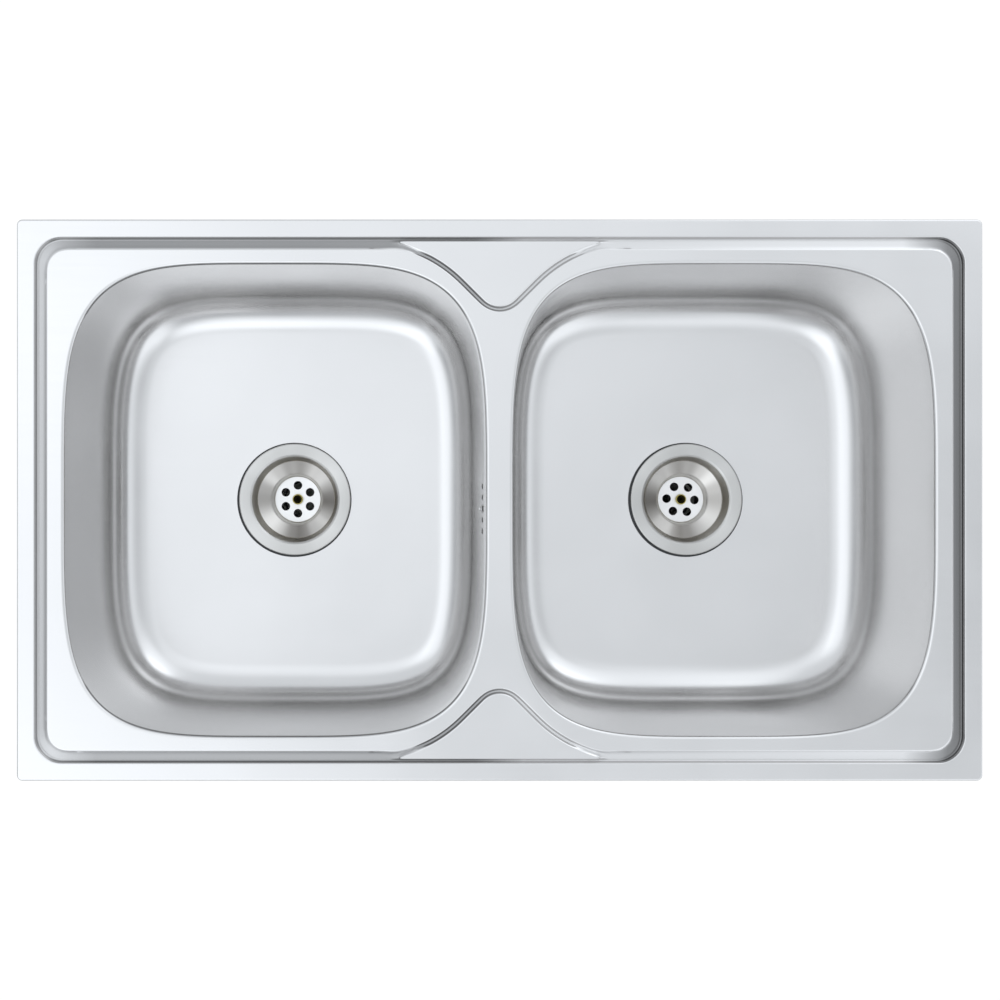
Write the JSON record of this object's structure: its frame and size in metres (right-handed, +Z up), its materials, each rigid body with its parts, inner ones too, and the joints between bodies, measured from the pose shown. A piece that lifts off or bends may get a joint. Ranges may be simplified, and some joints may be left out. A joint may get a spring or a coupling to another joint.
{
  "type": "double bowl kitchen sink",
  "caption": "Inset stainless steel kitchen sink with two bowls, drip groove, tap ledge, strainer wastes, overflow, trap and worktop clips.",
  "frame": {"origin": "middle of the worktop cut-out, in the plane of the worktop's top face", "axes": "+Z up out of the worktop, +X to the right bowl, +Y to the back where the tap stands"},
  "size_m": [0.86, 0.5, 0.4352],
  "materials": {
    "pressed_steel": "satin pressed stainless steel sheet",
    "turned_steel": "spun and turned stainless steel",
    "zinc_steel": "zinc plated steel",
    "brass": "turned brass",
    "black_rubber": "moulded black rubber",
    "grey_foam": "closed cell foam strip",
    "damping_pad": "bitumen damping pad",
    "white_plastic": "moulded polypropylene"
  },
  "bodies": {
    "root": {"sink_shell": "pressed_steel", "left_strainer_cup": "turned_steel", "right_strainer_cup": "turned_steel", "left_clamp_screw": "brass", "right_clamp_screw": "brass", "rim_seal": "grey_foam", "left_flange_gasket": "black_rubber", "left_lower_gasket": "black_rubber", "left_outlet_washer": "black_rubber", "right_flange_gasket": "black_rubber", "right_lower_gasket": "black_rubber", "right_outlet_washer": "black_rubber", "trap_seal": "black_rubber", "overflow_seal": "black_rubber", "left_sound_pad": "damping_pad", "right_sound_pad": "damping_pad", "left_waste_body": "white_plastic", "left_outlet_nut": "white_plastic", "right_waste_body": "white_plastic", "right_outlet_nut": "white_plastic", "left_elbow": "white_plastic", "right_tee": "white_plastic", "crossover_pipe": "white_plastic", "crossover_left_nut": "white_plastic", "crossover_right_nut": "white_plastic", "trap_nut": "white_plastic", "trap_body": "white_plastic", "trap_cup": "white_plastic", "outlet_pipe": "white_plastic", "outlet_pipe_nut": "white_plastic", "overflow_box": "white_plastic", "overflow_pipe": "white_plastic", "overflow_screw": "zinc_steel", "clip_back_left_bracket": "zinc_steel", "clip_back_right_bracket": "zinc_steel", "clip_front_left_bracket": "zinc_steel", "clip_front_right_bracket": "zinc_steel", "clip_side_left_bracket": "zinc_steel", "clip_side_right_bracket": "zinc_steel"},
    "clip_back_left_washer": {"clip_back_left_washer": "zinc_steel"},
    "clip_back_left_screw": {"clip_back_left_screw": "zinc_steel"},
    "clip_back_left_claw": {"clip_back_left_claw": "zinc_steel"},
    "clip_back_right_washer": {"clip_back_right_washer": "zinc_steel"},
    "clip_back_right_screw": {"clip_back_right_screw": "zinc_steel"},
    "clip_back_right_claw": {"clip_back_right_claw": "zinc_steel"},
    "clip_front_left_washer": {"clip_front_left_washer": "zinc_steel"},
    "clip_front_left_screw": {"clip_front_left_screw": "zinc_steel"},
    "clip_front_left_claw": {"clip_front_left_claw": "zinc_steel"},
    "clip_front_right_washer": {"clip_front_right_washer": "zinc_steel"},
    "clip_front_right_screw": {"clip_front_right_screw": "zinc_steel"},
    "clip_front_right_claw": {"clip_front_right_claw": "zinc_steel"},
    "clip_side_left_washer": {"clip_side_left_washer": "zinc_steel"},
    "clip_side_left_screw": {"clip_side_left_screw": "zinc_steel"},
    "clip_side_left_claw": {"clip_side_left_claw": "zinc_steel"},
    "clip_side_right_washer": {"clip_side_right_washer": "zinc_steel"},
    "clip_side_right_screw": {"clip_side_right_screw": "zinc_steel"},
    "clip_side_right_claw": {"clip_side_right_claw": "zinc_steel"}
  },
  "joints": [
    {"name": "clip_back_left_spin", "type": "hinge", "parent": "clip_back_left_washer", "child": "clip_back_left_screw", "pos_m": [-0.35437, 0.2235, -0.05], "axis": [0, 0, 1], "range_deg": [0, 5400]},
    {"name": "clip_back_left_climb", "type": "slide", "parent": "root", "child": "clip_back_left_washer", "axis": [0, 0, 1], "range_m": [0, 0.015]},
    {"name": "clip_back_left_swing", "type": "hinge", "parent": "clip_back_left_washer", "child": "clip_back_left_claw", "pos_m": [-0.35437, 0.2235, -0.05], "axis": [0, 0, 1], "range_deg": [0, 90]},
    {"name": "clip_back_right_spin", "type": "hinge", "parent": "clip_back_right_washer", "child": "clip_back_right_screw", "pos_m": [0.35437, 0.2235, -0.05], "axis": [0, 0, 1], "range_deg": [0, 5400]},
    {"name": "clip_back_right_climb", "type": "slide", "parent": "root", "child": "clip_back_right_washer", "axis": [0, 0, 1], "range_m": [0, 0.015]},
    {"name": "clip_back_right_swing", "type": "hinge", "parent": "clip_back_right_washer", "child": "clip_back_right_claw", "pos_m": [0.35437, 0.2235, -0.05], "axis": [0, 0, 1], "range_deg": [0, 90]},
    {"name": "clip_front_left_spin", "type": "hinge", "parent": "clip_front_left_washer", "child": "clip_front_left_screw", "pos_m": [-0.35437, -0.2235, -0.05], "axis": [0, 0, 1], "range_deg": [0, 5400]},
    {"name": "clip_front_left_climb", "type": "slide", "parent": "root", "child": "clip_front_left_washer", "axis": [0, 0, 1], "range_m": [0, 0.015]},
    {"name": "clip_front_left_swing", "type": "hinge", "parent": "clip_front_left_washer", "child": "clip_front_left_claw", "pos_m": [-0.35437, -0.2235, -0.05], "axis": [0, 0, 1], "range_deg": [0, 90]},
    {"name": "clip_front_right_spin", "type": "hinge", "parent": "clip_front_right_washer", "child": "clip_front_right_screw", "pos_m": [0.35437, -0.2235, -0.05], "axis": [0, 0, 1], "range_deg": [0, 5400]},
    {"name": "clip_front_right_climb", "type": "slide", "parent": "root", "child": "clip_front_right_washer", "axis": [0, 0, 1], "range_m": [0, 0.015]},
    {"name": "clip_front_right_swing", "type": "hinge", "parent": "clip_front_right_washer", "child": "clip_front_right_claw", "pos_m": [0.35437, -0.2235, -0.05], "axis": [0, 0, 1], "range_deg": [0, 90]},
    {"name": "clip_side_left_spin", "type": "hinge", "parent": "clip_side_left_washer", "child": "clip_side_left_screw", "pos_m": [-0.4035, 0, -0.05], "axis": [0, 0, 1], "range_deg": [0, 5400]},
    {"name": "clip_side_left_climb", "type": "slide", "parent": "root", "child": "clip_side_left_washer", "axis": [0, 0, 1], "range_m": [0, 0.015]},
    {"name": "clip_side_left_swing", "type": "hinge", "parent": "clip_side_left_washer", "child": "clip_side_left_claw", "pos_m": [-0.4035, 0, -0.05], "axis": [0, 0, 1], "range_deg": [0, 90]},
    {"name": "clip_side_right_spin", "type": "hinge", "parent": "clip_side_right_washer", "child": "clip_side_right_screw", "pos_m": [0.4035, 0, -0.05], "axis": [0, 0, 1], "range_deg": [0, 5400]},
    {"name": "clip_side_right_climb", "type": "slide", "parent": "root", "child": "clip_side_right_washer", "axis": [0, 0, 1], "range_m": [0, 0.015]},
    {"name": "clip_side_right_swing", "type": "hinge", "parent": "clip_side_right_washer", "child": "clip_side_right_claw", "pos_m": [0.4035, 0, -0.05], "axis": [0, 0, 1], "range_deg": [0, 90]}
  ],
  "couplings": [
    {"joint": "clip_back_left_spin", "follows": "clip_back_left_climb", "rad_per_m": 6283.2},
    {"joint": "clip_back_right_spin", "follows": "clip_back_right_climb", "rad_per_m": 6283.2},
    {"joint": "clip_front_left_spin", "follows": "clip_front_left_climb", "rad_per_m": 6283.2},
    {"joint": "clip_front_right_spin", "follows": "clip_front_right_climb", "rad_per_m": 6283.2},
    {"joint": "clip_side_left_spin", "follows": "clip_side_left_climb", "rad_per_m": 6283.2},
    {"joint": "clip_side_right_spin", "follows": "clip_side_right_climb", "rad_per_m": 6283.2}
  ]
}
